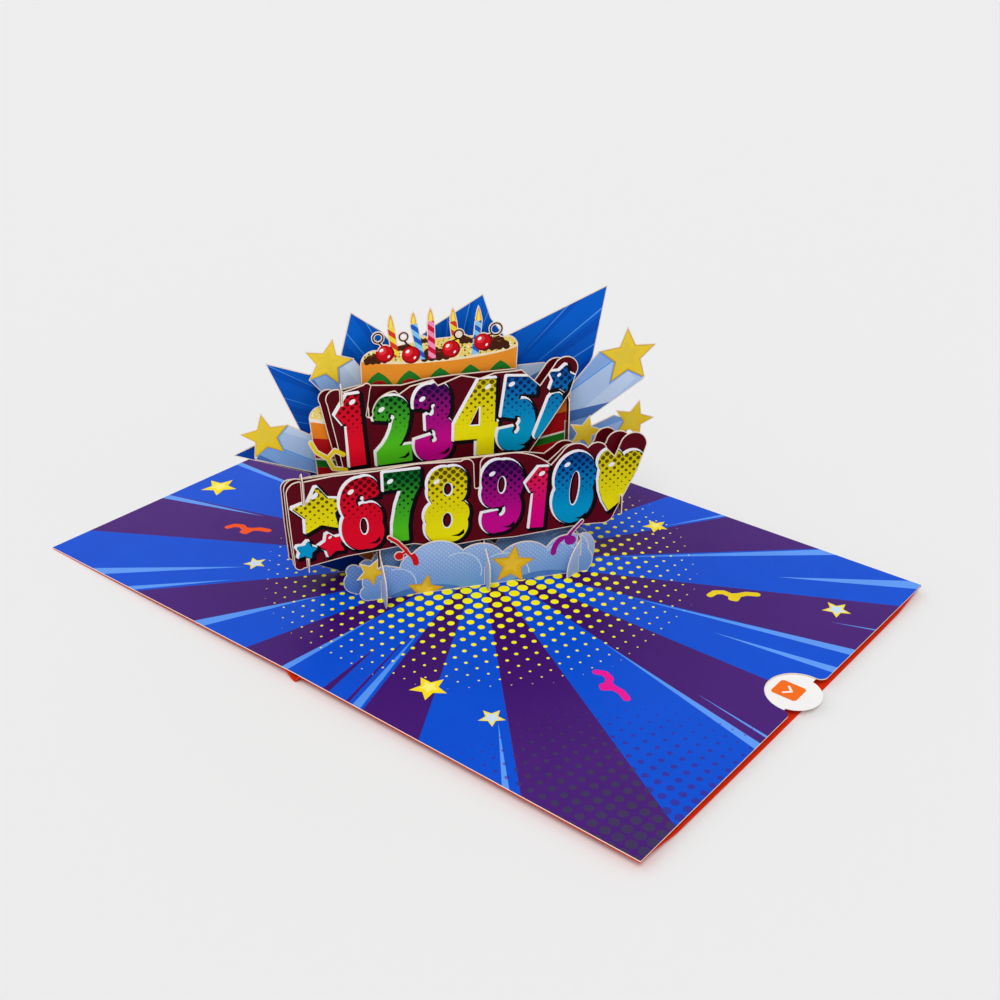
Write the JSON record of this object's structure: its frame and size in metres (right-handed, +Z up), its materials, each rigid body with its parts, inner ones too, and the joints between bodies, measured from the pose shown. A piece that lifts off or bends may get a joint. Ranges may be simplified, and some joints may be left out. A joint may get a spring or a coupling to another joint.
{
  "type": "pop-up card",
  "caption": "Open pop-up card: slotted paper plates stand on a folding sheet as clouds, figures, cake and burst; a note card slides out of a side pocket",
  "frame": {"origin": "middle of the cover's bottom crease at the spine, on the surface the card lies on", "axes": "+Z up; Y along the spine, +Y away from a reader at the lower edge; +X across the right panel towards the thumb notch"},
  "size_m": [0.3047, 0.2, 0.1168],
  "materials": {
    "cover_board": "orange-red linen-textured cover card, satin",
    "inner_print": "coated card printed blue and purple, satin",
    "note_paper": "white uncoated card",
    "cloud_card": "coated card printed cloud blue, satin",
    "row_card": "coated card printed dark red with bright figures, satin",
    "cake_card": "coated card printed orange and yellow, satin",
    "star_card": "coated card printed gold and pale blue, satin",
    "burst_card": "coated card printed blue, satin"
  },
  "bodies": {
    "card": {"cover": "cover_board", "inner_sheet": "inner_print", "cloud_front": "cloud_card", "cloud_second": "cloud_card", "leaf_right": "cloud_card", "slat_left": "cloud_card", "slat_middle": "cloud_card", "slat_right": "cloud_card", "numeral_row_lower_front": "row_card", "numeral_row_lower_middle": "row_card", "numeral_row_lower_back": "row_card", "numeral_row_upper_front": "row_card", "numeral_row_upper_back": "row_card", "link_lower_left": "row_card", "link_lower_right": "row_card", "link_upper_left": "row_card", "cake": "cake_card", "star_trails": "star_card", "small_star": "star_card", "burst_back": "burst_card"},
    "note": {"note_card": "note_paper"}
  },
  "joints": [
    {"name": "note_slide", "type": "slide", "parent": "card", "child": "note", "axis": [1, 0, 0], "range_m": [0, 0.13]}
  ]
}
